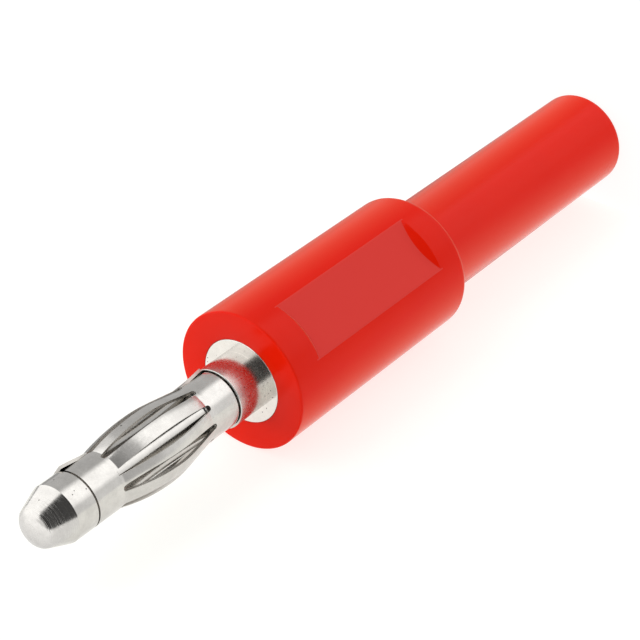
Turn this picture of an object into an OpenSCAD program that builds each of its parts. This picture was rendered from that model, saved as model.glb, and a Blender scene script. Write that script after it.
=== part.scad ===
// Four millimetre banana plug with a slotted spring basket and a red insulating handle.
// The plug stands on the flat end of its cable sleeve, with the pin pointing up along +Z.
// The origin is the centre of the sleeve end. All lengths are in millimetres.

/* [Contact pin] */
// Diameter of the nose collar, the nominal size of the plug
pin_d = 4.0; // [3.6:0.1:4.4]
// Length of the pin in front of the handle
pin_len = 19.55; // [18:0.05:24]
// Length of the domed and tapered nose
nose_len = 2.15; // [1.9:0.05:3]
// Length of the straight collar behind the nose
collar_len = 1.65; // [1.2:0.05:2.5]
// Diameter of the core between the two basket seats
core_d = 3.36; // [2.2:0.02:3.4]
// Length of the shank between the handle and the basket
shank_len = 2.55; // [1.5:0.05:4]
// Amount by which the shank is wider than the collar
shank_extra_d = 0.26; // [0.1:0.02:0.6]
// Diameter of the flange that closes the front of the handle
flange_d = 6.0; // [5.4:0.1:7]
// Thickness of the flange
flange_t = 1.5; // [0.8:0.1:2.5]

/* [Spring basket] */
// Thickness of the rolled spring strip
strip_t = 0.2; // [0.12:0.01:0.24]
// Number of lamellas, one slot or seam before each
lamella_count = 10; // [6:1:12]
// Height by which each lamella bows out of the rings
bow = 0.6; // [0.2:0.02:0.7]
// Width of a slot at its rounded ends
slot_end_w = 0.4; // [0.3:0.02:0.5]
// Length of the closed ring at each end of the basket
ring_len = 2.4; // [1.2:0.05:3]
// Width of the open seam of the rolled strip
seam_w = 0.3; // [0.15:0.05:0.5]
// Angle of the open seam about the pin
seam_angle = 65; // [0:1:359]

/* [Insulating handle] */
// Diameter of the grip barrel
barrel_d = 10; // [9.2:0.1:13]
// Length of the grip barrel
barrel_len = 18.6; // [16.5:0.1:24]
// Diameter of the cable sleeve
sleeve_d = 7.25; // [6.6:0.05:8.6]
// Length of the cable sleeve
sleeve_len = 23; // [16:0.5:30]
// Diameter of the cable bore
bore_d = 4.2; // [3.8:0.1:4.6]
// Depth of each finger flat below the barrel
flat_depth = 0.5; // [0.2:0.05:0.7]
// Length of full barrel left in front of and behind each flat
flat_lip = 2.5; // [1.5:0.1:4]
// Number of finger flats around the barrel
flat_count = 2; // [1:1:4]

/* [Hidden] */
$fn = 96;
eps = 0.01;

// Running clearances of the basket on the pin
basket_play_r = 0.03;
basket_play_z = 0.12;
// Clearance of the flange rim and of the stem in the handle
flange_play = 0.02;
stem_play = 0.02;
// Clearance of the solder cup in the cable bore
cup_play = 0.2;

handle_len = barrel_len + sleeve_len;
barrel_r = barrel_d / 2;
sleeve_r = sleeve_d / 2;
bore_r = bore_d / 2;
bore_chamfer = 0.35;
front_round = 0.3;
shoulder_round = 0.4;
sleeve_round = 0.3;

pin_r = pin_d / 2;
core_r = core_d / 2;
shank_r = pin_r + shank_extra_d / 2;
shank_chamfer = 0.06;
flange_r = flange_d / 2;
flange_fillet = 0.15;

// Nose: a cone from the collar, then a shallow dome that meets it
cone_len = 1.35;
cone_slope = 0.37;
cone_r = pin_r - cone_slope * cone_len;
dome_h = nose_len - cone_len;
dome_r = (cone_r * cone_r + dome_h * dome_h) / (2 * dome_h);

// Heights above the handle front
seat_bottom = shank_len;
seat_top = pin_len - nose_len - collar_len;
basket_bottom = seat_bottom + basket_play_z;
basket_top = seat_top - basket_play_z;
basket_mid = (basket_bottom + basket_top) / 2;

// Basket rings, flush with the collar, on seats that are a little longer than they are
ring_r = pin_r;
seat_over = 0.1;
ring_bore_r = ring_r - strip_t;
seat_r = ring_bore_r - basket_play_r;
seat_len = ring_len + seat_over;
seat_ramp = seat_r - core_r;

// Lamella arc through the two ring edges and the crest
lamella_span = basket_top - basket_bottom - 2 * ring_len;
bow_r = (pow(lamella_span / 2, 2) + bow * bow) / (2 * bow);
bow_x = ring_r + bow - bow_r;

// Slot outline: the lamellas keep their width, so each slot widens as they bow out;
// the slot ends cut a little way into the rings
slot_over = 0.25;
slot_steps = 3;
slot_end_step = 30;
slot_pitch = 360 / lamella_count;
slot_mid_w = slot_end_w + 2 * PI * bow / lamella_count;
slot_belly = (slot_mid_w - slot_end_w) / 2;
slot_len = lamella_span + 2 * slot_over;
slot_side_len = slot_len - slot_end_w;

// Stem that holds the handle, and the solder cup behind it
stem_step = 0.3;
stem_r = bore_r + stem_step;
stem_len = 11.5;
barb_count = 5;
barb_h = 0.2;
barb_pitch = 2;
// Each barb starts below the flange with a square edge, a short land and a long slope
barb_start = 0.8;
barb_land = 0.4;
barb_run = 1.2;
cup_r = bore_r - cup_play;
cup_len = 6;
cup_wall = 0.6;
cup_bore_r = cup_r - cup_wall;
cup_depth = 5.2;
cup_chamfer = 0.3;
stem_body_r = stem_r - stem_play - barb_h;
stem_bottom = flange_t + stem_len;
cup_bottom = stem_bottom + cup_len;
cup_end_gap = 0.3;
stem_bore_len = cup_bottom + cup_end_gap;

// Half section of a round bar with a rounded lower and upper edge
module bar_section(r, len, low_round, high_round) {
    translate([0, low_round])
        square([r, len - low_round - high_round]);
    square([r - low_round, low_round + eps]);
    translate([r - low_round, low_round])
        circle(low_round);
    translate([0, len - high_round - eps])
        square([r - high_round, high_round + eps]);
    translate([r - high_round, len - high_round])
        circle(high_round);
}

// Half section of the domed and tapered nose, from the collar front
module nose_section() {
    polygon([[0, -eps], [pin_r, -eps], [pin_r, 0], [cone_r, cone_len], [0, cone_len]]);
    intersection() {
        translate([0, nose_len - dome_r])
            circle(dome_r);
        translate([0, cone_len - eps])
            square([pin_r, dome_h + 2 * eps]);
    }
}

// Outline of the barbs, from the flange down; each barb catches when the pin is pulled
function barb_points() = [
    for (
        i = [0 : barb_count - 1],
        p = [[0, 0], [barb_h + stem_play, 0], [barb_h + stem_play, -barb_land], [0, -barb_run]]
    )
        [stem_body_r + p[0], -flange_t - barb_start - i * barb_pitch + p[1]]
];

// Half section of the whole pin below its nose: solder cup, stem, flange, shank, core and collar
module shaft_section() {
    polygon(concat(
        [
            [0, seat_top + collar_len],
            [0, -cup_bottom],
            [cup_r, -cup_bottom],
            [cup_r, -stem_bottom],
            [stem_body_r, -stem_bottom]
        ],
        [for (i = [len(barb_points()) - 1 : -1 : 0]) barb_points()[i]],
        [
            [stem_body_r, -flange_t],
            [flange_r, -flange_t],
            [flange_r, 0],
            [shank_r, 0],
            [shank_r, shank_len - shank_chamfer],
            [shank_r - shank_chamfer, shank_len],
            [seat_r, shank_len],
            [seat_r, seat_bottom + seat_len],
            [core_r, seat_bottom + seat_len + seat_ramp],
            [core_r, seat_top - seat_len - seat_ramp],
            [seat_r, seat_top - seat_len],
            [seat_r, seat_top],
            [pin_r, seat_top],
            [pin_r, seat_top + collar_len]
        ]
    ));
}

// Half section of the fillet between shank and flange
module fillet_section() {
    translate([shank_r, 0])
        difference() {
            translate([-eps, -eps])
                square([flange_fillet + eps, flange_fillet + eps]);
            translate([flange_fillet, flange_fillet])
                circle(flange_fillet);
        }
}

module contact_pin() {
    color("#d6d2c8")
        translate([0, 0, handle_len])
            difference() {
                rotate_extrude()
                    union() {
                        shaft_section();
                        fillet_section();
                        translate([0, seat_top + collar_len])
                            nose_section();
                    }
                translate([0, 0, -cup_bottom - 1])
                    cylinder(r = cup_bore_r, h = cup_depth + 1);
                translate([0, 0, -cup_bottom - eps])
                    cylinder(r1 = cup_bore_r + cup_chamfer, r2 = cup_bore_r, h = cup_chamfer);
            }
}

// Half section filled out to the face of the strip, longer at both ends by over
module strip_fill(over) {
    for (y = [basket_bottom - over, basket_top - ring_len])
        translate([0, y])
            square([ring_r, ring_len + over]);
    intersection() {
        translate([bow_x, basket_mid])
            circle(bow_r, $fn = 360);
        translate([0, basket_mid - lamella_span / 2])
            square([2 * pin_r, lamella_span]);
    }
}

// Half section of the rolled strip: two rings joined by the bowed lamellas
module strip_section() {
    difference() {
        strip_fill(0);
        translate([-strip_t, 0])
            strip_fill(1);
    }
}

// Half width of a slot, with u running from -1 to 1 along its sides
function slot_half_w(u) = slot_end_w / 2 + slot_belly * (1 - u * u);

// Points of one rounded slot end about its centre height
function slot_end_points(y, from) = [
    for (a = [from + slot_end_step : slot_end_step : from + 180 - slot_end_step])
        [slot_end_w / 2 * cos(a), y + slot_end_w / 2 * sin(a)]
];

// Outline of one slot with rounded ends and bellied sides
module slot_outline() {
    h = slot_side_len / 2;
    n = slot_steps;
    polygon(concat(
        [for (i = [-n : n]) [slot_half_w(i / n), h * i / n]],
        slot_end_points(h, 0),
        [for (i = [-n : n]) [-slot_half_w(i / n), -h * i / n]],
        slot_end_points(-h, 180)
    ));
}

// Radial cutter that carries an outline standing in the strip
module radial_cut() {
    rotate([90, 0, 90])
        linear_extrude(2 * pin_r)
            children();
}

module spring_basket() {
    color("#cfccc6")
        translate([0, 0, handle_len])
            rotate([0, 0, seam_angle])
                difference() {
                    rotate_extrude()
                        strip_section();
                    for (i = [0 : lamella_count - 1])
                        rotate([0, 0, i * slot_pitch])
                            translate([0, 0, basket_mid])
                                radial_cut()
                                    slot_outline();
                    translate([0, 0, basket_mid])
                        radial_cut()
                            square([seam_w, basket_top - basket_bottom + 1], center = true);
                }
}

// Cutter of one finger flat; its end walls are cones about the pin axis
module flat_cut() {
    low = sleeve_len + flat_lip;
    high = handle_len - flat_lip;
    rim = barrel_r + 1;
    floor_r = barrel_r - flat_depth - 1;
    intersection() {
        translate([barrel_r - flat_depth, -barrel_r, 0])
            cube([barrel_r, 2 * barrel_r, handle_len]);
        rotate_extrude()
            polygon([
                [rim, low - 1],
                [rim, high + 1],
                [floor_r, high - flat_depth - 1],
                [floor_r, low + flat_depth + 1]
            ]);
    }
}

module insulating_handle() {
    color("#d8281c")
        difference() {
            rotate_extrude()
                union() {
                    bar_section(sleeve_r, sleeve_len + 1, sleeve_round, eps);
                    translate([0, sleeve_len])
                        bar_section(barrel_r, barrel_len, shoulder_round, front_round);
                }
            translate([0, 0, -1])
                cylinder(r = bore_r, h = handle_len);
            translate([0, 0, -eps])
                cylinder(r1 = bore_r + bore_chamfer, r2 = bore_r, h = bore_chamfer);
            translate([0, 0, handle_len - stem_bore_len])
                cylinder(r = stem_r, h = stem_bore_len);
            translate([0, 0, handle_len - flange_t])
                cylinder(r = flange_r + flange_play, h = flange_t + 1);
            for (i = [0 : flat_count - 1])
                rotate([0, 0, i * 360 / flat_count])
                    flat_cut();
        }
}

contact_pin();
spring_basket();
insulating_handle();
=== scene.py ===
# %% [markdown]
# # A banana plug, dressed in Blender
# The plug is a turned and plated pin, a rolled spring basket that can spin on it, and a red
# moulded handle. Its solids come packed from CAD and stay where they are. Here they get a
# camera, a light set, finishes, and the fine forms that a CAD solid does without.

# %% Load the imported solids
import math

import bmesh
import bpy
from mathutils import Matrix, Vector


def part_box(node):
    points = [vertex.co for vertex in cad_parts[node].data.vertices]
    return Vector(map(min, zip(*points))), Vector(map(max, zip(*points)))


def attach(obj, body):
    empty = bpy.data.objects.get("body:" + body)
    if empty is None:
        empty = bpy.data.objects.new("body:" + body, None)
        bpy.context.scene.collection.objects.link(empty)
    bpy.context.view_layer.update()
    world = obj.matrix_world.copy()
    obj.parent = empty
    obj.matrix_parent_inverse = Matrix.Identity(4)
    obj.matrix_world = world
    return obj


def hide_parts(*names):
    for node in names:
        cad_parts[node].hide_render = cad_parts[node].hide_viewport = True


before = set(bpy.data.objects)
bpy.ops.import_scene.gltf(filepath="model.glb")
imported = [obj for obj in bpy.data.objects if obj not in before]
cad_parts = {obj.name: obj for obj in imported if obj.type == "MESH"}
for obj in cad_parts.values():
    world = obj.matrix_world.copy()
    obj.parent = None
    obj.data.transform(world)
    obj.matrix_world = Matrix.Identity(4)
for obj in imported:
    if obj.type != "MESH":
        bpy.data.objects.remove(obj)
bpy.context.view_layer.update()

MM = 0.001
scene = bpy.context.scene
scene.view_settings.view_transform = "Standard"

# %% [markdown]
# ## The camera
# A long lens looks at the plug from in front of its nose. The plug lies on a table in the
# picture but stands on its sleeve in the model, so the camera is rolled with it. A camera
# could be aimed with a constraint; writing its three axes down keeps the roll exact.

# %% Camera
CAMERA_PLACE = Vector((107.4713, -9.7807, 129.316)) * MM
CAMERA_RIGHT = Vector((0.485202, -0.629832, -0.606541))
CAMERA_UP = Vector((0.461545, 0.773633, -0.434128))
CAMERA_BACK = Vector((0.742668, -0.069306, 0.666064))
LENS_MM, SENSOR_MM = 121.09, 36
CLIP_NEAR, CLIP_FAR = 0.005, 10

camera_data = bpy.data.cameras.new("photo_camera")
camera_data.lens = LENS_MM
camera_data.sensor_width = SENSOR_MM
camera_data.clip_start = CLIP_NEAR
camera_data.clip_end = CLIP_FAR
camera = bpy.data.objects.new("photo_camera", camera_data)
scene.collection.objects.link(camera)
axes = Matrix((CAMERA_RIGHT, CAMERA_UP, CAMERA_BACK)).transposed()
camera.matrix_world = Matrix.Translation(CAMERA_PLACE) @ axes.to_4x4()
scene.camera = camera
print("camera distance, mm:", round(CAMERA_PLACE.length / MM, 1))

# %% [markdown]
# ## The white table
# Product pictures are taken on white paper. It could be lit until it burns out to white, but
# then the plug would be lit too much as well. So the paper has a little diffuse white, which
# takes the soft shadow, and an even glow, which stands for the light that white paper throws
# back. One sheet touches the barrel like the table in the picture, the other is the floor
# that the plug stands on. Both vanish from behind, so that no view is blocked. The floor
# stays out of reflections: in the picture the plug lies, and nothing stands across its tail.

# %% Helpers that add a node and start a material
def add_node(tree, kind, place=(0, 0), **values):
    node = tree.nodes.new(kind)
    node.location = place
    for key, value in values.items():
        socket = key.replace("_", " ").title()
        if socket in node.inputs:
            node.inputs[socket].default_value = value
        else:
            setattr(node, key, value)
    return node


def new_material(name):
    material = bpy.data.materials.new(name)
    material.use_nodes = True
    material.node_tree.nodes.clear()
    return material, material.node_tree


# %% Paper of the table and the floor
def paper_material(name, glow, white):
    material, tree = new_material(name)
    link = tree.links.new
    out = add_node(tree, "ShaderNodeOutputMaterial", (800, 0))
    diffuse = add_node(tree, "ShaderNodeBsdfDiffuse", (0, 100), color=(*white, 1))
    shine = add_node(tree, "ShaderNodeEmission", (0, -100), color=(*glow, 1), strength=1.0)
    both = add_node(tree, "ShaderNodeAddShader", (300, 50))
    link(diffuse.outputs[0], both.inputs[0])
    link(shine.outputs[0], both.inputs[1])
    side = add_node(tree, "ShaderNodeNewGeometry", (300, 300))
    clear = add_node(tree, "ShaderNodeBsdfTransparent", (300, -100))
    mix = add_node(tree, "ShaderNodeMixShader", (600, 0))
    link(side.outputs["Backfacing"], mix.inputs[0])
    link(both.outputs[0], mix.inputs[1])
    link(clear.outputs[0], mix.inputs[2])
    link(mix.outputs[0], out.inputs["Surface"])
    return material


table_paper = paper_material(
    "table_paper", glow=(0.78, 0.768, 0.745), white=(0.34, 0.355, 0.34))
floor_paper = paper_material(
    "floor_paper", glow=(0.90, 0.89, 0.88), white=(0.15, 0.15, 0.15))
print("papers:", table_paper.name, floor_paper.name)


# %% Sheets of paper
def staged(name, points, faces, material):
    mesh = bpy.data.meshes.new(name)
    mesh.from_pydata(points, [], faces)
    mesh.materials.append(material)
    thing = bpy.data.objects.new(name, mesh)
    scene.collection.objects.link(thing)
    return thing


def paper_sheet(name, centre, normal, half, material):
    tilt = normal.to_track_quat("Z", "Y").to_matrix()
    square = ((-1, -1), (1, -1), (1, 1), (-1, 1))
    corners = [centre + tilt @ Vector((x * half, y * half, 0)) for x, y in square]
    return staged(name, corners, [(0, 1, 2, 3)], material)


TABLE_UP = Vector((0.79219, 0.61028, 0.0))
BARREL_R = 5.0 * MM
TABLE_MIDDLE = Vector((0, 0, 30)) * MM
TABLE_HALF, FLOOR_HALF = 0.5, 0.055

table_place = TABLE_MIDDLE - BARREL_R * TABLE_UP
paper_sheet("table_sheet", table_place, TABLE_UP, TABLE_HALF, table_paper)
floor = paper_sheet(
    "floor_sheet", Vector((0, 0, 0)), Vector((0, 0, 1)), FLOOR_HALF, floor_paper)
floor.visible_glossy = False
print("paper sheets: table touches the barrel, floor carries the sleeve end")

# %% [markdown]
# ## Soft studio light
# A white dome lights the plug from everywhere, as a light tent does. A large soft lamp above
# its left side gives the faint shadow on the right, and a small one in front lights the left
# of the handle's face. A picture of a studio could light the scene too; a plain dome and two
# lamps are easier to steer. The dome is whiter for the camera and in reflections than as a
# light. The lamps are kept out of reflections, because the cards below decide what the metal
# mirrors.

# %% Helpers that fill a socket and calculate
def put(tree, value, socket):
    """Link a socket to its value, or set a plain number or colour."""
    if isinstance(value, bpy.types.NodeSocket):
        tree.links.new(value, socket)
    else:
        socket.default_value = (*value, 1) if isinstance(value, tuple) else value


def calculated(tree, place, operation, *values):
    node = add_node(tree, "ShaderNodeMath", place, operation=operation)
    for value, socket in zip(values, node.inputs):
        put(tree, value, socket)
    return node.outputs[0]


# %% World
DOME_LIGHT, DOME_SEEN = 0.68, 1.0
WHITE = (1, 1, 1, 1)

world = bpy.data.worlds.new("white_dome")
scene.world = world
world.use_nodes = True
dome = world.node_tree
dome.nodes.clear()
dome_out = add_node(dome, "ShaderNodeOutputWorld", (600, 0))
lit = add_node(dome, "ShaderNodeBackground", (200, 100), color=WHITE, strength=DOME_LIGHT)
shown = add_node(dome, "ShaderNodeBackground", (200, -100), color=WHITE, strength=DOME_SEEN)
dome_mix = add_node(dome, "ShaderNodeMixShader", (400, 0))
ray = add_node(dome, "ShaderNodeLightPath", (-400, 200)).outputs
seen = calculated(dome, (-150, 200), "MAXIMUM", ray["Is Camera Ray"], ray["Is Glossy Ray"])
seen = calculated(dome, (0, 200), "MAXIMUM", seen, ray["Is Transmission Ray"])
dome.links.new(seen, dome_mix.inputs[0])
dome.links.new(lit.outputs[0], dome_mix.inputs[1])
dome.links.new(shown.outputs[0], dome_mix.inputs[2])
dome.links.new(dome_mix.outputs[0], dome_out.inputs["Surface"])
print("dome: light", DOME_LIGHT, "seen as", DOME_SEEN)

# %% Soft lamps
LAMP_DISTANCE = 0.40
PLUG_MIDDLE = Vector((0, 0, 35)) * MM


def soft_lamp(name, way, size, energy):
    lamp_data = bpy.data.lights.new(name, "AREA")
    lamp_data.shape = "SQUARE"
    lamp_data.size = size
    lamp_data.energy = energy
    lamp = bpy.data.objects.new(name, lamp_data)
    scene.collection.objects.link(lamp)
    toward = Vector(way).normalized()
    lamp.location = PLUG_MIDDLE + toward * LAMP_DISTANCE
    lamp.rotation_mode = "QUATERNION"
    lamp.rotation_quaternion = toward.to_track_quat("Z", "Y")
    lamp.visible_glossy = False
    print(name, "at, mm:", [round(v / MM) for v in lamp.location])


soft_lamp("high_lamp", way=(0.30, 0.78, 0.30), size=0.30, energy=0.60)
soft_lamp("front_lamp", way=(-0.28, 0.58, 0.765), size=0.10, energy=0.32)

# %% [markdown]
# ## Cards for the reflections
# Plated metal shows only what is round it. A photographer hangs cards there: a bright one
# behind the plug for the white band along the pin, grey ones on the far side, and the dark
# room at the camera's own side. The tones could be painted on the metal, but then they would
# not move with the view, so real cards are hung. Each card is bent round the pin axis, and
# its edges are given as slopes seen from the pin. The cards show in reflections only, so
# they cast no light.

# %% A card with tones
def toned_card(name, points, faces, levels):
    """A sheet that glows with a level at each point and shows in reflections only."""
    material, tree = new_material(name)
    out = add_node(tree, "ShaderNodeOutputMaterial", (600, 0))
    glow = add_node(tree, "ShaderNodeEmission", (300, 0), color=WHITE)
    tone = add_node(tree, "ShaderNodeAttribute", (0, 0), attribute_name="tone")
    tree.links.new(tone.outputs["Fac"], glow.inputs["Strength"])
    tree.links.new(glow.outputs[0], out.inputs["Surface"])
    card = staged(name, points, faces, material)
    card.data.attributes.new("tone", "FLOAT", "POINT").data.foreach_set("value", levels)
    card.visible_camera = False
    card.visible_diffuse = False
    card.visible_shadow = False


def ladder(count):
    """Faces between pairs of points in a row."""
    return [(2 * i, 2 * i + 1, 2 * i + 3, 2 * i + 2) for i in range(count)]


# %% A card bent round the pin axis
PIN_MIDDLE = Vector((0, 0, 55)) * MM
ARC_R = 0.25
ARC_STEPS = 24


def arc_card(name, turns, lows, highs, tones, fade=0.0, ends=(1.0, 1.0)):
    """Edges go from the card's first end to its last, tones from its low edge to its high one.
    Near its ends the card fades, over some degrees, to the tones of the ends."""
    points, levels = [], []
    for i in range(ARC_STEPS + 1):
        share = i / ARC_STEPS
        turn = turns[0] + (turns[1] - turns[0]) * share
        near_end = ends[0] if share < 0.5 else ends[1]
        inside = min(turn - turns[0], turns[1] - turn)
        full = 1.0 if fade == 0 else min(1.0, inside / fade)
        angle = math.radians(turn)
        for edge, level in zip((lows, highs), tones):
            slope = edge[0] + (edge[1] - edge[0]) * share
            way = Vector((math.cos(angle), math.sin(angle), slope))
            points.append(PIN_MIDDLE + ARC_R * way)
            levels.append(near_end + (level - near_end) * full)
    toned_card(name, points, ladder(ARC_STEPS), levels)


# %% Cards round the pin
BEHIND = (-24, 55)
FAR_BELOW, BRIGHT_LOW, BRIGHT_TOP = (-2.4, -2.4), (-1.0, -1.0), (-0.385, -0.385)
FADING_TOP, ROOM_LOW, ROOM_TOP = (-0.33, -0.33), (-0.10, -0.10), (1.6, 1.6)
BRIGHT_FADE, BRIGHT_ENDS = 17, (1.1, 0.63)

arc_card("low_bright_card", BEHIND, FAR_BELOW, BRIGHT_LOW, (1.0, 1.6), BRIGHT_FADE, BRIGHT_ENDS)
arc_card("bright_card", BEHIND, BRIGHT_LOW, BRIGHT_TOP, (1.65, 1.6), BRIGHT_FADE, BRIGHT_ENDS)
arc_card("fading_card", BEHIND, BRIGHT_TOP, FADING_TOP, (1.5, 0.62))
arc_card("dim_card", (-24, 60), FADING_TOP, ROOM_LOW, (0.62, 0.29))
arc_card("shade_card", (-62, -24), (-0.95, -0.95), ROOM_LOW, (1.1, 0.55))
arc_card("dark_card", (-53, 40), ROOM_LOW, ROOM_TOP, (0.07, 0.05), 6, (0.16, 0.55))
arc_card("grey_card", (55, 132), FAR_BELOW, (-0.29, -0.55), (0.64, 0.64))
arc_card("left_card", (40, 165), (-0.20, -0.42), (3.0, 3.0), (1.6, 1.5))
print("cards: bright, fading, dim, shade, dark, grey and left bands round the pin axis")

# %% [markdown]
# The far side of the table lies in the shade of the grey card, so a grey strip on it goes on
# where that card ends. The table in front of the nose is lit more, so a bright strip lies
# there for the tip to mirror. Both show in reflections only, as the cards do.

# %% Strips on the table
FAR_SIDE = Vector((-0.61028, 0.79219, 0.0))
STRIP_ABOVE = 0.3 * MM


def table_strip(name, asides, alongs, tones):
    """A strip between two distances aside from the axis; each height along it has its tone."""
    points, levels = [], []
    for along, tone in zip(alongs, tones):
        for aside in asides:
            place = FAR_SIDE * aside - TABLE_UP * (BARREL_R - STRIP_ABOVE)
            points.append(place + Vector((0, 0, along)))
            levels.append(tone)
    toned_card(name, points, ladder(len(alongs) - 1), levels)
    print(name, "runs from", round(alongs[0] / MM), "to", round(alongs[-1] / MM), "mm")


table_strip("grey_strip", (0.010, 0.450), (-0.390, 0.048), (0.42, 0.42))
table_strip("front_strip", (-0.25, 0.25),
            (0.059, 0.064, 0.072, 0.090, 0.560), (1.0, 1.12, 1.35, 1.5, 1.5))

# %% [markdown]
# ## Shared effects
# Effects of the surface are node groups: built once, and placed in each finish that has them,
# with its own values. The first is the rings that a lathe leaves, noise that changes only
# along the pin. The second is the pits and the mottle of a plated surface; the pits are
# small cells of a Voronoi pattern. The third is fine grain with a slow change of tone, for
# the skin of the moulding and the dull spots of the metal. The fourth tells how far a point
# lies between two heights, so that a finish can change along the pin. All could be painted
# images; as patterns of the object's own coordinates they need no image and never stretch.

# %% Turning rings
def group_tree(name, inputs, outputs):
    tree = bpy.data.node_groups.new(name, "ShaderNodeTree")
    for label, value in inputs.items():
        socket = tree.interface.new_socket(label, in_out="INPUT", socket_type="NodeSocketFloat")
        socket.default_value = value
    for label in outputs:
        tree.interface.new_socket(label, in_out="OUTPUT", socket_type="NodeSocketFloat")
    start = add_node(tree, "NodeGroupInput", (-900, 0))
    end = add_node(tree, "NodeGroupOutput", (700, 0))
    return tree, start.outputs, end.inputs


def object_place(tree, place):
    return add_node(tree, "ShaderNodeTexCoord", place).outputs["Object"]


def object_height(tree):
    split = add_node(tree, "ShaderNodeSeparateXYZ", (-700, 300))
    tree.links.new(object_place(tree, (-900, 300)), split.inputs[0])
    return split.outputs["Z"]


rings, rings_in, rings_out = group_tree("turning_rings", {"Rings Per Metre": 9000.0}, ["Height"])
rings_along = calculated(
    rings, (-500, 200), "MULTIPLY", object_height(rings), rings_in["Rings Per Metre"])
rings_noise = add_node(rings, "ShaderNodeTexNoise", (-300, 200), noise_dimensions="1D",
                       detail=3.0, roughness=0.6, scale=1.0)
rings.links.new(rings_along, rings_noise.inputs["W"])
rings.links.new(rings_noise.outputs["Fac"], rings_out["Height"])
print("group:", rings.name)

# %% Plating pits and mottle
pits, pits_in, pits_out = group_tree(
    "plating_pits", {"Cells Per Metre": 900.0, "Pit Size": 0.10, "Share": 0.5}, ["Mask", "Mottle"])
pits_place = object_place(pits, (-900, 300))
pits_cells = add_node(pits, "ShaderNodeTexVoronoi", (-600, 300), feature="F1")
pits.links.new(pits_place, pits_cells.inputs["Vector"])
pits.links.new(pits_in["Cells Per Metre"], pits_cells.inputs["Scale"])
pits_pick = add_node(pits, "ShaderNodeSeparateColor", (-350, 100))
pits.links.new(pits_cells.outputs["Color"], pits_pick.inputs[0])
near_middle = calculated(
    pits, (-350, 300), "LESS_THAN", pits_cells.outputs["Distance"], pits_in["Pit Size"])
kept_cell = calculated(pits, (-150, 100), "LESS_THAN", pits_pick.outputs[0], pits_in["Share"])
pits_mask = calculated(pits, (100, 250), "MULTIPLY", near_middle, kept_cell)
pits_cloud = add_node(pits, "ShaderNodeTexNoise", (-350, -150),
                      scale=900.0, detail=6.0, roughness=0.72)
pits.links.new(pits_place, pits_cloud.inputs["Vector"])
pits.links.new(pits_mask, pits_out["Mask"])
pits.links.new(pits_cloud.outputs["Fac"], pits_out["Mottle"])
print("group:", pits.name)

# %% Fine grain
grain, grain_in, grain_out = group_tree(
    "fine_grain", {"Grain Per Metre": 4000.0}, ["Height", "Tone"])
grain_place = object_place(grain, (-900, 300))
grain_small = add_node(grain, "ShaderNodeTexNoise", (-500, 300), detail=3.0, roughness=0.55)
grain.links.new(grain_place, grain_small.inputs["Vector"])
grain.links.new(grain_in["Grain Per Metre"], grain_small.inputs["Scale"])
grain_slow = add_node(grain, "ShaderNodeTexNoise", (-500, 0),
                      scale=160.0, detail=2.0, roughness=0.5)
grain.links.new(grain_place, grain_slow.inputs["Vector"])
grain.links.new(grain_small.outputs["Fac"], grain_out["Height"])
grain.links.new(grain_slow.outputs["Fac"], grain_out["Tone"])
print("group:", grain.name)

# %% Share of the way between two heights
climb, climb_in, climb_out = group_tree("height_share", {"From": 0.0, "To": 1.0}, ["Share"])
climb_range = add_node(climb, "ShaderNodeMapRange", (-200, 200))
climb.links.new(object_height(climb), climb_range.inputs["Value"])
climb.links.new(climb_in["From"], climb_range.inputs["From Min"])
climb.links.new(climb_in["To"], climb_range.inputs["From Max"])
climb.links.new(climb_range.outputs["Result"], climb_out["Share"])
print("group:", climb.name)

# %% [markdown]
# ## Red moulded plastic
# The handle is a saturated red with a fairly glossy skin. Almost all the green and blue in
# the picture is white light mirrored by the skin, so the colour below the skin is deep. A
# slow change of tone and gloss and a very fine grain keep it from looking like paint. The
# finger flats are rubbed, so they are duller and a little paler. They could have a material
# of their own; a mask by place keeps one finish without a border. Seen at a slant, the
# translucent plastic has a faint orange sheen, from light that has gone through it.
# The sheen is painted: Layer Weight mixes an orange into the base colour where the surface
# is seen at a slant. Subsurface scattering would show it too; Layer Weight is quicker to render.

# %% Helpers for finishes
def placed_group(tree, group, place, **values):
    node = tree.nodes.new("ShaderNodeGroup")
    node.node_tree = group
    node.location = place
    for key, value in values.items():
        node.inputs[key.replace("_", " ").title()].default_value = value
    return node.outputs


def mixed_colour(tree, place, first, second, share):
    """A Mix node for colours; their sockets are inputs 6 and 7 and output 2."""
    node = add_node(tree, "ShaderNodeMix", place, data_type="RGBA")
    put(tree, share, node.inputs[0])
    put(tree, first, node.inputs[6])
    put(tree, second, node.inputs[7])
    return node.outputs[2]


def ranged(tree, place, value, low, high, start=0.3, end=0.7):
    """Stretch a value to a new range; noise mostly lies between 0.3 and 0.7."""
    node = add_node(tree, "ShaderNodeMapRange", place)
    put(tree, value, node.inputs["Value"])
    put(tree, start, node.inputs["From Min"])
    put(tree, end, node.inputs["From Max"])
    put(tree, low, node.inputs["To Min"])
    put(tree, high, node.inputs["To Max"])
    return node.outputs["Result"]


def between(tree, place, share, low, high):
    return ranged(tree, place, share, low, high, 0.0, 1.0)


BUMP_DEPTH = 0.02 * MM


def bumped(tree, place, height, strength):
    node = add_node(tree, "ShaderNodeBump", place, strength=strength, distance=BUMP_DEPTH)
    tree.links.new(height, node.inputs["Height"])
    return node.outputs["Normal"]


# %% Red plastic: where the flats are
FLAT_X, FLAT_MIDDLE, FLAT_REACH = 4.5, 32.3, 7
AT_FLAT = 0.02

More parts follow.
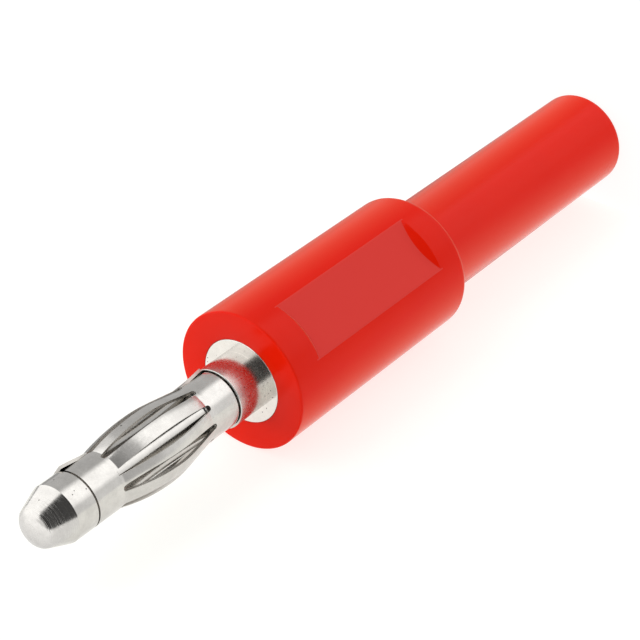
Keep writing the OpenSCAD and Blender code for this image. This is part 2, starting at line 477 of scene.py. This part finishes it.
red_plastic, red = new_material("red_moulded_plastic")
red_split = add_node(red, "ShaderNodeSeparateXYZ", (-900, 500))
red.links.new(object_place(red, (-1100, 500)), red_split.inputs[0])
red_side = calculated(red, (-700, 600), "ABSOLUTE", red_split.outputs["X"])
at_flat = calculated(red, (-500, 600), "COMPARE", red_side, FLAT_X * MM, AT_FLAT * MM)
along_flat = calculated(red, (-500, 400), "COMPARE",
                        red_split.outputs["Z"], FLAT_MIDDLE * MM, FLAT_REACH * MM)
on_flat = calculated(red, (-300, 500), "MULTIPLY", at_flat, along_flat)
print("rubbed flats at, mm:", FLAT_X, "either side")

# %% Red plastic: colour
RED_DEEP, RED_LIGHT = (0.72, 0.009, 0.0005), (0.79, 0.012, 0.0007)
RED_RUBBED = (0.71, 0.038, 0.029)
# The orange of a slanted surface is a painted sheen, mixed into the base colour by Layer Weight.
RED_PAINTED_SHEEN = (0.77, 0.052, 0.010)
SHEEN_FROM, SHEEN_TO = 0.42, 0.82

red_skin = placed_group(red, grain, (-500, 0), grain_per_metre=5000.0)
red_fresh = mixed_colour(red, (-200, 200), RED_DEEP, RED_LIGHT, red_skin["Tone"])
red_edge = add_node(red, "ShaderNodeLayerWeight", (-500, 800), blend=0.5)
red_slant = ranged(red, (-300, 800), red_edge.outputs["Facing"], 0.0, 1.0, SHEEN_FROM, SHEEN_TO)
red_with_sheen = mixed_colour(red, (0, 500), red_fresh, RED_PAINTED_SHEEN, red_slant)
red_colour = mixed_colour(red, (150, 300), red_with_sheen, RED_RUBBED, on_flat)
print("colours: fresh, rim and rubbed red")

# %% Red plastic: gloss and grain
RED_GLOSS, RUBBED_GLOSS = (0.13, 0.19), 0.30
RED_GRAIN = 0.05
RED_SPECULAR = 0.10

red_out = add_node(red, "ShaderNodeOutputMaterial", (700, 0))
red_body = add_node(red, "ShaderNodeBsdfPrincipled", (300, 0))
red_body.inputs["Specular IOR Level"].default_value = RED_SPECULAR
red_shine = ranged(red, (-200, 0), red_skin["Tone"], *RED_GLOSS)
red_gloss = between(red, (50, 0), on_flat, red_shine, RUBBED_GLOSS)
red_normal = bumped(red, (0, -200), red_skin["Height"], RED_GRAIN)
red.links.new(red_colour, red_body.inputs["Base Color"])
red.links.new(red_gloss, red_body.inputs["Roughness"])
red.links.new(red_normal, red_body.inputs["Normal"])
red.links.new(red_body.outputs[0], red_out.inputs["Surface"])
print("finish:", red_plastic.name)

# %% [markdown]
# ## Bright nickel
# The pin is turned, then plated: a warm white metal with faint lathe rings that grow deeper
# toward the tip, a rougher shank that the basket has rubbed, and a few pits. Each zone could
# be a material of its own; shares of the height along the pin change one finish from zone to
# zone and leave no border.

# %% Plated pin: zones along the axis
SHANK_LEN, NOSE_LEN, TIP_LEN = 2.55, 2.15, 0.6
FLANGE_FROM, FLANGE_TO, SHANK_FADE = 0.005, 0.02, 0.1

HANDLE_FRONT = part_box("insulating_handle")[1].z
PIN_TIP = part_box("contact_pin")[1].z
SHANK_END = HANDLE_FRONT + SHANK_LEN * MM
CONE_START = PIN_TIP - NOSE_LEN * MM


def passed(tree, place, start, end):
    """0 below the first height, 1 above the second and a ramp between them."""
    return placed_group(tree, climb, place, **{"from": start, "to": end})["Share"]


turned_nickel, nickel = new_material("turned_nickel")
past_flange = passed(
    nickel, (-600, -850), HANDLE_FRONT + FLANGE_FROM * MM, HANDLE_FRONT + FLANGE_TO * MM)
past_shank = passed(nickel, (-600, -450), SHANK_END - SHANK_FADE * MM, SHANK_END)
past_cone = passed(nickel, (-600, -650), CONE_START, PIN_TIP - TIP_LEN * MM)
print("zones end at, mm:", [round(z / MM, 2) for z in (HANDLE_FRONT, SHANK_END, PIN_TIP)])

# %% Plated pin: colour
NICKEL_LOW, NICKEL_HIGH = (0.44, 0.425, 0.405), (0.76, 0.74, 0.705)
FLANGE_LOW, FLANGE_HIGH = (0.68, 0.65, 0.61), (0.92, 0.89, 0.85)
PIT_COLOUR = (0.13, 0.12, 0.11)

spots = placed_group(
    nickel, pits, (-600, 0), cells_per_metre=3500.0, pit_size=0.16, share=0.10)
pin_clean = mixed_colour(nickel, (-300, 200), NICKEL_LOW, NICKEL_HIGH, spots["Mottle"])
flange_clean = mixed_colour(nickel, (-300, 400), FLANGE_LOW, FLANGE_HIGH, spots["Mottle"])
all_clean = mixed_colour(nickel, (0, 400), flange_clean, pin_clean, past_flange)
nickel_colour = mixed_colour(nickel, (200, 200), all_clean, PIT_COLOUR, spots["Mask"])
print("colours: flange, pin and pits")

# %% Plated pin: gloss
SHANK_GLOSS, BRIGHT_GLOSS, COARSE_GLOSS = (0.20, 0.29), (0.10, 0.18), (0.22, 0.42)
FLANGE_GLOSS = 0.13
RING_FROM, RING_TO = 0.42, 0.70

lathe = placed_group(nickel, rings, (-600, -250), rings_per_metre=17000.0)
dull = placed_group(nickel, grain, (-600, -1050), grain_per_metre=7000.0)
shank_gloss = ranged(nickel, (-300, 0), dull["Height"], *SHANK_GLOSS)
bright_gloss = ranged(nickel, (-300, -150), dull["Height"], *BRIGHT_GLOSS)
coarse_gloss = between(nickel, (-300, -700), past_cone, *COARSE_GLOSS)
ring_gloss = ranged(
    nickel, (-100, -600), lathe["Height"], bright_gloss, coarse_gloss, RING_FROM, RING_TO)
turned_gloss = between(nickel, (0, 0), past_shank, shank_gloss, ring_gloss)
nickel_gloss = between(nickel, (200, 0), past_flange, FLANGE_GLOSS, turned_gloss)
print("gloss: flange, shank, and rings that grow coarser toward the tip")

# %% Plated pin: relief
RING_DEPTH = (0.15, 0.4)
FLANGE_GRAIN, SHANK_GRAIN, TURNED_GRAIN = 0.01, 0.03, 0.05
NICKEL_BUMP = 0.6

ring_depth = between(nickel, (-300, -500), past_cone, *RING_DEPTH)
rear_grain = between(nickel, (-450, -900), past_flange, FLANGE_GRAIN, SHANK_GRAIN)
grain_depth = between(nickel, (-300, -900), past_shank, rear_grain, TURNED_GRAIN)
ring_height = calculated(nickel, (0, -300), "MULTIPLY", lathe["Height"], ring_depth)
grain_height = calculated(nickel, (0, -500), "MULTIPLY", dull["Height"], grain_depth)
nickel_height = calculated(nickel, (150, -400), "ADD", ring_height, grain_height)
nickel_normal = bumped(nickel, (300, -200), nickel_height, NICKEL_BUMP)
nickel_out = add_node(nickel, "ShaderNodeOutputMaterial", (1000, 0))
nickel_body = add_node(nickel, "ShaderNodeBsdfPrincipled", (700, 0), metallic=1.0)
nickel.links.new(nickel_colour, nickel_body.inputs["Base Color"])
nickel.links.new(nickel_gloss, nickel_body.inputs["Roughness"])
nickel.links.new(nickel_normal, nickel_body.inputs["Normal"])
nickel.links.new(nickel_body.outputs[0], nickel_out.inputs["Surface"])
print("finish:", turned_nickel.name)

# %% [markdown]
# ## Plated strip
# The basket is stamped from thin strip, so it has no rings, only mottle, grain and pits.
# Where the strip was sheared, its edge is darker and duller than its face. A mask could find
# the edges; the edge faces are known when the strip gets its thickness, so they get a second
# finish from the same recipe.

# %% Plated strip and its sheared edge
SHEARED_LOW, SHEARED_HIGH = (0.44, 0.42, 0.39), (0.56, 0.535, 0.50)
STRIP_GLOSS, SHEARED_GLOSS = (0.10, 0.20), (0.27, 0.33)
STRIP_GRAIN = 0.04


def strip_finish(name, low, high, gloss):
    material, tree = new_material(name)
    out = add_node(tree, "ShaderNodeOutputMaterial", (700, 0))
    body = add_node(tree, "ShaderNodeBsdfPrincipled", (400, 0), metallic=1.0)
    marks = placed_group(
        tree, pits, (-600, 0), cells_per_metre=1300.0, pit_size=0.10, share=0.06)
    clean = mixed_colour(tree, (-300, 200), low, high, marks["Mottle"])
    colour = mixed_colour(tree, (0, 200), clean, PIT_COLOUR, marks["Mask"])
    skin = placed_group(tree, grain, (-600, -300), grain_per_metre=6000.0)
    roughness = ranged(tree, (0, 0), skin["Height"], *gloss)
    normal = bumped(tree, (0, -200), skin["Height"], STRIP_GRAIN)
    tree.links.new(colour, body.inputs["Base Color"])
    tree.links.new(roughness, body.inputs["Roughness"])
    tree.links.new(normal, body.inputs["Normal"])
    tree.links.new(body.outputs[0], out.inputs["Surface"])
    return material


strip_nickel = strip_finish("strip_nickel", NICKEL_LOW, NICKEL_HIGH, STRIP_GLOSS)
sheared_edge = strip_finish("sheared_edge", SHEARED_LOW, SHEARED_HIGH, SHEARED_GLOSS)
print("finishes:", strip_nickel.name, sheared_edge.name)

# %% [markdown]
# ## Profiles for turned and moulded pieces
# The pin and the handle are round, so each is a profile spun about the axis. A profile is a
# list of corners: radius, height and the radius of the rounding there. The CAD solids have
# the same profiles; these pieces take their place with finer faces and softly broken edges.
# A Screw modifier could spin them too, but the handle's columns have to follow its flats.
# A guard point beside each rounding keeps the flat next to it flat in reflections.

# %% Round the corners of a profile
GUARD = 0.04


def rounded(corners, steps=5):
    line = []
    for i, (r, z, radius) in enumerate(corners):
        here = Vector((r, z))
        if radius == 0:
            line.append((r, z))
            continue
        back = Vector(corners[i - 1][:2]) - here
        ahead = Vector(corners[(i + 1) % len(corners)][:2]) - here
        room = min(back.length, ahead.length)
        back.normalize()
        ahead.normalize()
        half = back.angle(ahead) / 2
        reach = radius / math.tan(half)
        centre = here + (back + ahead).normalized() * (radius / math.sin(half))
        first = here + back * reach - centre
        turn = first.angle_signed(here + ahead * reach - centre)
        if reach + GUARD < room:
            line.append(tuple(here + back * (reach + GUARD)))
        for s in range(steps + 1):
            angle = -turn * s / steps
            arm = Matrix.Rotation(angle, 2) @ first
            line.append(tuple(centre + arm))
        if reach + GUARD < room:
            line.append(tuple(here + ahead * (reach + GUARD)))
    return line


# %% Spin a profile
WELD = 0.0004


def column_of(profile, turn):
    return [(r * math.cos(turn), r * math.sin(turn), z) for r, z in profile]


def spun(columns, closed):
    """Columns are lists of points in millimetres, one list for each step round the axis."""
    shape = bmesh.new()
    rails = [[shape.verts.new(spot) for spot in column] for column in columns]
    count = len(rails[0])
    for rail, after in zip(rails, rails[1:] + rails[:1]):
        for i in range(count if closed else count - 1):
            k = (i + 1) % count
            shape.faces.new((rail[i], after[i], after[k], rail[k]))
    bmesh.ops.remove_doubles(shape, verts=shape.verts, dist=WELD)
    mesh = bpy.data.meshes.new("spun")
    shape.to_mesh(mesh)
    shape.free()
    return mesh


# %% Finish a piece that was made in millimetres
SHARP_ANGLE = math.radians(35)


def finished_piece(name, mesh, body, node, sharp=SHARP_ANGLE):
    mesh.name = name
    mesh.transform(Matrix.Scale(MM, 4))
    for face in mesh.polygons:
        face.use_smooth = True
    mesh.set_sharp_from_angle(angle=sharp)
    piece = bpy.data.objects.new(name, mesh)
    scene.collection.objects.link(piece)
    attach(piece, body)
    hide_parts(node)
    print(name, "faces:", len(mesh.polygons))
    return piece


# %% [markdown]
# ## The turned pin
# From the back: solder cup, barbed stem, flange, shank, seats and core under the basket,
# collar, and a cone that rounds over into an almost flat tip. Cylinders and cones could be
# joined by booleans; one spun profile is made the way a lathe makes the real pin. Heights
# count from the front of the handle.

# %% Barbs of the stem
STEM_R, BARB_H = 2.18, 0.22
BARBS, BARB_PITCH, FIRST_BARB = 5, 2.0, -2.3
BARB_LEN, BARB_LAND = 1.2, 0.4

barbs = []
for i in reversed(range(BARBS)):
    top = FIRST_BARB - BARB_PITCH * i
    barbs += [(STEM_R, top - BARB_LEN, 0), (STEM_R + BARB_H, top - BARB_LAND, 0)]
    barbs += [(STEM_R + BARB_H, top, 0), (STEM_R, top, 0)]
print("barbs:", BARBS)

# %% Profile of the pin
EDGE = 0.03
CUP_R, CUP_OUTER_R = 1.3, 1.9
FLANGE_R, SHANK_R, SEAT_R, CORE_R, COLLAR_R = 3.0, 2.13, 1.77, 1.68, 2.0
PIN_CORNERS = [
    # Solder cup
    (0, -13.8, 0), (CUP_R, -13.8, 0), (CUP_R, -18.7, 0), (1.6, -19.0, 0),
    (CUP_OUTER_R, -19.0, 0), (CUP_OUTER_R, -13.0, 0),
    # Stem and flange
    (STEM_R, -13.0, 0), *barbs, (STEM_R, -1.5, 0), (FLANGE_R, -1.5, 0), (FLANGE_R, 0, EDGE),
    # Shank, then the seats and the core between them
    (SHANK_R, 0, 0), (SHANK_R, SHANK_LEN, 0.05), (SEAT_R, SHANK_LEN, 0), (SEAT_R, 5.05, 0),
    (CORE_R, 5.14, 0), (CORE_R, 13.16, 0), (SEAT_R, 13.25, 0), (SEAT_R, 15.75, 0),
    # Collar, cone and tip
    (COLLAR_R, 15.75, EDGE), (COLLAR_R, 17.4, EDGE), (1.316, 19.25, 0.75),
    (0.75, 19.4525, 0), (0.5, 19.507, 0), (0.25, 19.539, 0), (0, 19.55, 0),
]
print("corners in the pin's profile:", len(PIN_CORNERS))

# %% Spin the pin
PIN_COLUMNS = 160
front = HANDLE_FRONT / MM
pin_profile = [(r, z + front) for r, z in rounded(PIN_CORNERS, steps=8)]
pin_turns = [2 * math.pi * i / PIN_COLUMNS for i in range(PIN_COLUMNS)]
pin_mesh = spun([column_of(pin_profile, turn) for turn in pin_turns], False)
pin_mesh.materials.append(turned_nickel)
turned_pin = finished_piece("turned_pin", pin_mesh, "plug", "contact_pin")

# %% [markdown]
# ## The moulded handle
# The sleeve, the barrel and the bore are one profile. The two finger flats are sunk into the
# barrel, each with a sloped wall at both ends. They could be cut with a boolean; here the
# columns of the spun grid run along the edges of the flats, and the points between them sink
# to the flat, which leaves clean faces. Bevel then breaks the edges.

# %% Profile of the handle
WALL_R = 4.995  # a hair under the solid's 5 mm, so the piece stays in its box
SLEEVE_R, RECESS_R, STEM_BORE_R, CABLE_BORE_R = 3.625, 3.02, 2.4, 2.1
SLEEVE_LEN, RECESS_DEPTH, STEM_DEPTH = 23.0, 1.5, 19.3
HANDLE_CORNERS = [
    # Sleeve, shoulder and barrel
    (2.45, 0, 0), (SLEEVE_R, 0, 0.3), (SLEEVE_R, SLEEVE_LEN, 0),
    (WALL_R, SLEEVE_LEN, 0.4), (WALL_R, front, 0.12),
    # Recess of the flange, bore of the stem and bore of the cable
    (RECESS_R, front, 0), (RECESS_R, front - RECESS_DEPTH, 0),
    (STEM_BORE_R, front - RECESS_DEPTH, 0), (STEM_BORE_R, front - STEM_DEPTH, 0),
    (CABLE_BORE_R, front - STEM_DEPTH, 0), (CABLE_BORE_R, 0.35, 0),
]
handle_profile = rounded(HANDLE_CORNERS)
print("points in the handle's profile:", len(handle_profile))

# %% Walls with the sunk flats
FLAT_LOW, FLAT_HIGH, FLAT_ROWS = 25.5, 39.1, 8
ON_WALL = WALL_R - 0.001

flat_half = math.acos(FLAT_X / WALL_R)


def flat_column(turn):
    """Points of the barrel wall at one angle, sunk where a flat is."""
    off = math.remainder(turn, math.pi)
    r = min(WALL_R, FLAT_X / math.cos(off)) if abs(off) < flat_half else WALL_R
    low, high = FLAT_LOW + WALL_R - r, FLAT_HIGH - WALL_R + r
    step = (high - low - 2 * GUARD) / FLAT_ROWS
    sunk = [(r, low + GUARD + step * i) for i in range(FLAT_ROWS + 1)]
    return [(WALL_R, FLAT_LOW), (r, low), *sunk, (r, high), (WALL_R, FLAT_HIGH)]


flat_at = next(
    i for i, (r, z) in enumerate(handle_profile) if r > ON_WALL and z > FLAT_HIGH)
print("half angle of a flat:", round(math.degrees(flat_half), 1))

# %% Columns of the handle
FLAT_COLUMNS, ROUND_COLUMNS = 24, 60

flat_step = 2 * flat_half / FLAT_COLUMNS
round_step = (math.pi - 2 * flat_half) / ROUND_COLUMNS
handle_turns = []
for side in (0, math.pi):
    handle_turns += [side - flat_half + flat_step * i for i in range(FLAT_COLUMNS)]
    handle_turns += [side + flat_half + round_step * i for i in range(ROUND_COLUMNS)]
handle_columns = []
for turn in handle_turns:
    profile = handle_profile[:flat_at] + flat_column(turn) + handle_profile[flat_at:]
    handle_columns.append(column_of(profile, turn))
handle_mesh = spun(handle_columns, True)
handle_mesh.materials.append(red_plastic)
print("columns round the handle:", len(handle_columns))


# %% Break the edges of the handle
def with_modifiers(mesh, settings):
    """A copy of the mesh with modifiers applied; settings are (kind, values) pairs."""
    carrier = bpy.data.objects.new("carrier", mesh)
    scene.collection.objects.link(carrier)
    for kind, values in settings:
        modifier = carrier.modifiers.new(kind, kind)
        for key, value in values.items():
            setattr(modifier, key, value)
    graph = bpy.context.evaluated_depsgraph_get()
    made = bpy.data.meshes.new_from_object(carrier.evaluated_get(graph))
    bpy.data.objects.remove(carrier)
    return made


def edge_break(width, segments, degrees):
    return ("BEVEL", {"width": width, "segments": segments,
                      "limit_method": "ANGLE", "angle_limit": math.radians(degrees)})


handle_mesh = with_modifiers(handle_mesh, [edge_break(width=0.05, segments=3, degrees=21)])
moulded_handle = finished_piece(
    "moulded_handle", handle_mesh, "plug", "insulating_handle")

# %% [markdown]
# ## The spring basket
# The basket is cut from a thin flat strip, rolled round the pin and left open at a seam. Its
# lamellas bow out between two rings. The CAD solid has the same form, with even lamellas and
# slot sides of a few straight steps; this piece takes its place with smooth slot sides,
# broken edges and lamellas that bow a little unevenly, as springs do after use. It could be
# cut with booleans, but a grid whose columns follow the slot edges gives clean faces and
# smooth reflections.

# %% Measures of the strip, in millimetres
LAMELLAS = 10
STRIP_T = 0.2
RING_R, RING_LEN = 2.0, 2.4
BOW = 0.6
SLOT_END_W, SLOT_OVER = 0.4, 0.25

basket_low, basket_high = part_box("spring_basket")
strip_mid = (basket_low.z + basket_high.z) / 2 / MM
strip_half_len = (basket_high.z - basket_low.z) / 2 / MM
bow_half = strip_half_len - RING_LEN
bow_arc_r = (bow_half**2 + BOW**2) / (2 * BOW)
slot_half_len = bow_half + SLOT_OVER
side_half = slot_half_len - SLOT_END_W / 2
slot_belly = math.pi * BOW / LAMELLAS
print("strip from", round(strip_mid - strip_half_len, 2),
      "to", round(strip_mid + strip_half_len, 2), "mm")

# %% Bow of a lamella and width of a slot
EASE_REACH = 1.5


def bow_height(place, ease):
    """Height of the lamella above the rings; with ease it leaves its ring more gently."""
    out = abs(place)
    if out >= bow_half:
        return 0.0
    arc = math.sqrt(bow_arc_r**2 - out**2) - (bow_arc_r - BOW)
    wave = BOW * (1 + math.cos(math.pi * out / bow_half)) / 2
    return arc + (wave - arc) * ease * min(1.0, out / EASE_REACH)


def slot_half_width(out, extra):
    if out >= slot_half_len:
        return 0.0
    if out > side_half:
        return math.sqrt(max(0.0, (SLOT_END_W / 2) ** 2 - (out - side_half) ** 2))
    return SLOT_END_W / 2 + (slot_belly + extra) * (1 - (out / side_half) ** 2)


print("half length of a lamella, mm:", round(bow_half, 2))

# %% Rows along the strip
BOW_ROWS, RING_ROWS = 20, 5
BEFORE_KINK = 0.985
SLOT_END_ANGLES = (20, 38, 54, 68, 80, 90)

half_rows = [bow_half * BEFORE_KINK * i / BOW_ROWS for i in range(BOW_ROWS + 1)]
half_rows += [bow_half, side_half]
half_rows += [side_half + SLOT_END_W / 2 * math.sin(math.radians(a)) for a in SLOT_END_ANGLES]
ring_room = strip_half_len - GUARD - slot_half_len
half_rows += [slot_half_len + ring_room * i / RING_ROWS for i in range(1, RING_ROWS + 1)]
half_rows += [strip_half_len]
rows = [-out for out in reversed(half_rows[1:])] + half_rows
print("rows along the strip:", len(rows))

# %% [markdown]
# No two lamellas of a used spring are alike. These lists hold what differs, from the seam
# round the strip: how far each lamella bows, how gently it leaves its rings at the back and
# at the front, and where each slot lies, how much wider it is, and how far it runs askew.

# %% Uneven lamellas and slots
LIFT_SHARES = (0.72, 0.70, 0.78, 0.86, 0.95, 1.0, 1.0, 1.0, 0.97, 0.90)
BACK_EASE = (0.45, 0.45, 0.45, 0.45, 0.45, 0.45, 0.45, 0.40, 0.26, 0.45)
FRONT_EASE = (0, 0, 0, 0, 0, 0, 0.1, 0.35, 0.15, 0)
SLOT_EXTRA = (0, 0, 0, 0, 0, 0, 0.06, 0.06, 0.06, 0.01)
SLOT_SHIFTS = [math.radians(a) for a in (0, 0, 0, 0, -1, -3, -5, -4, -2.5, 2)]
SLOT_SKEWS = [math.radians(a) for a in (0, 0, 0, 0, 0, 0, 0, 6, 0, 0)]
SEAM_TURN = math.radians(64)
PITCH = 2 * math.pi / LAMELLAS


def slot_turn(k, out):
    """Angle of a slot's middle line; a skewed slot drifts from its back end to its front end."""
    toward_front = 0.5 + 0.5 * max(-1.0, min(1.0, out / slot_half_len))
    shift = SLOT_SHIFTS[k % LAMELLAS] + SLOT_SKEWS[k % LAMELLAS] * toward_front
    return SEAM_TURN + PITCH * k + shift


print("bow of the lamellas, mm:", [round(BOW * share, 2) for share in LIFT_SHARES])

# %% [markdown]
# Each lamella is a patch of the grid. In the rings the patches meet and are welded; in the
# slots they part. The ends at the seam stay apart, and the far one springs up a little.

# %% Edges of a patch
SEAM_HALF, SEAM_SPREAD = 0.05, 0.12


def patch_edges(k, out, r, ring_share):
    """Angles of a lamella's two edges at one row."""
    after = (k + 1) % LAMELLAS
    seam_gap = SEAM_HALF + SEAM_SPREAD * ring_share**2
    low_gap = slot_half_width(abs(out), SLOT_EXTRA[k])
    high_gap = slot_half_width(abs(out), SLOT_EXTRA[after])
    if k == 0:
        low_gap = max(low_gap, seam_gap)
    if after == 0:
        high_gap = max(high_gap, seam_gap)
    low_turn = slot_turn(k, out) + math.asin(low_gap / r)
    return low_turn, slot_turn(k + 1, out) - math.asin(high_gap / r)


print("seam gap, mm:", 2 * SEAM_HALF)

# %% Grid of lamellas
COLUMN_SHARES = (0, 0.025, 0.14, 0.3, 0.5, 0.7, 0.86, 0.975, 1)
LIP_RISE = 0.42
LIP_REACH = math.radians(14)

grid = bmesh.new()
for k in range(LAMELLAS):
    patch = []
    for out in rows:
        ease = BACK_EASE[k] if out < 0 else FRONT_EASE[k]
        r = RING_R + LIFT_SHARES[k] * bow_height(out, ease)
        ring_share = max(0.0, (abs(out) - bow_half) / RING_LEN)
        low_turn, high_turn = patch_edges(k, out, r, ring_share)
        line = []
        for share in COLUMN_SHARES:
            turn = low_turn + (high_turn - low_turn) * share
            lifted = r + LIP_RISE * ring_share * math.exp(-(turn - SEAM_TURN) / LIP_REACH)
            spot = (lifted * math.cos(turn), lifted * math.sin(turn), strip_mid + out)
            line.append(grid.verts.new(spot))
        patch.append(line)
    for low_line, high_line in zip(patch, patch[1:]):
        for j in range(len(COLUMN_SHARES) - 1):
            grid.faces.new((low_line[j], low_line[j + 1], high_line[j + 1], high_line[j]))
bmesh.ops.remove_doubles(grid, verts=grid.verts, dist=WELD)
strip_mesh = bpy.data.meshes.new("strip_grid")
grid.to_mesh(strip_mesh)
grid.free()
print("grid faces:", len(strip_mesh.polygons))

# %% [markdown]
# The grid is a sheet without thickness. Solidify gives it the strip's thickness inward, with
# the sheared edges as a second finish, and Bevel breaks the edges. Both work in millimetres,
# because such small sizes in metres come close to the limits of the modifiers; the result is
# then scaled down. Kinks above a small angle stay sharp, so that no lamella's reflection
# smears into its ring.

# %% Thickness and edges
BASKET_SHARP = math.radians(14)

strip_mesh.materials.append(strip_nickel)
strip_mesh.materials.append(sheared_edge)
thickened = ("SOLIDIFY", {"thickness": STRIP_T, "offset": -1,
                          "use_even_offset": True, "material_offset_rim": 1})
softened = edge_break(width=0.015, segments=2, degrees=50)
basket_mesh = with_modifiers(strip_mesh, [thickened, softened])
rolled_basket = finished_piece("rolled_basket", basket_mesh, "basket", "spring_basket",
                               BASKET_SHARP)

# %% [markdown]
# ## The pieces
# The dressed plug stays in the box of its solids.

# %% The pieces
print("pieces:", turned_pin.name, moulded_handle.name, rolled_basket.name)
